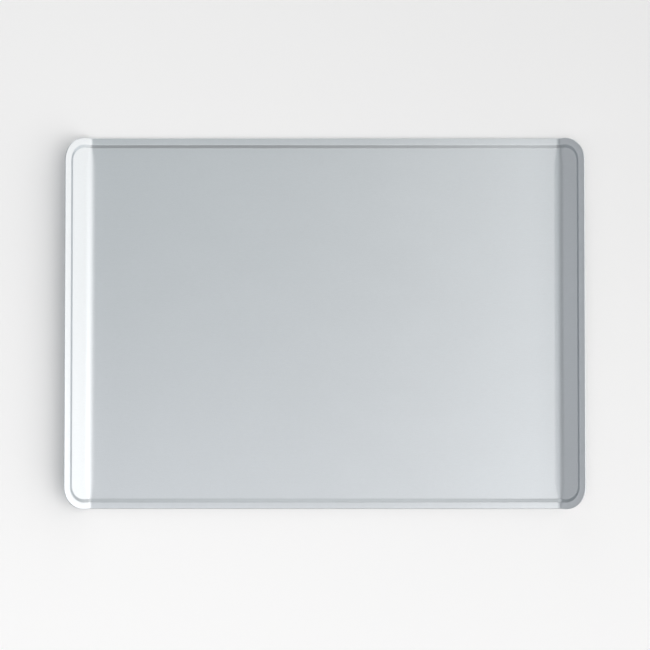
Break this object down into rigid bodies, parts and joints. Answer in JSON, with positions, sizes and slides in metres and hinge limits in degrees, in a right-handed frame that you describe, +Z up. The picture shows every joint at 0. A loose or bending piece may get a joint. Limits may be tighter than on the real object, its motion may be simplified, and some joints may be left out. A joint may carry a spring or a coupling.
{
  "type": "cookie sheet",
  "caption": "Flat metal cookie sheet with a wire-reinforced raised rim all round and both short ends bent up as sloped flanges to grip.",
  "frame": {"origin": "middle of the sheet's flat underside, on the surface it rests on", "axes": "+X along the sheet towards one flanged end, +Y across it towards one level long side, +Z up from the baking surface"},
  "size_m": [0.4572, 0.3302, 0.0197],
  "materials": {
    "satin_sheet_metal": "satin aluminised steel, cool silver grey",
    "drawn_steel_wire": "plain drawn steel wire, dull grey"
  },
  "bodies": {
    "root": {"pan_sheet": "satin_sheet_metal", "rim_wire": "drawn_steel_wire"}
  },
  "joints": []
}
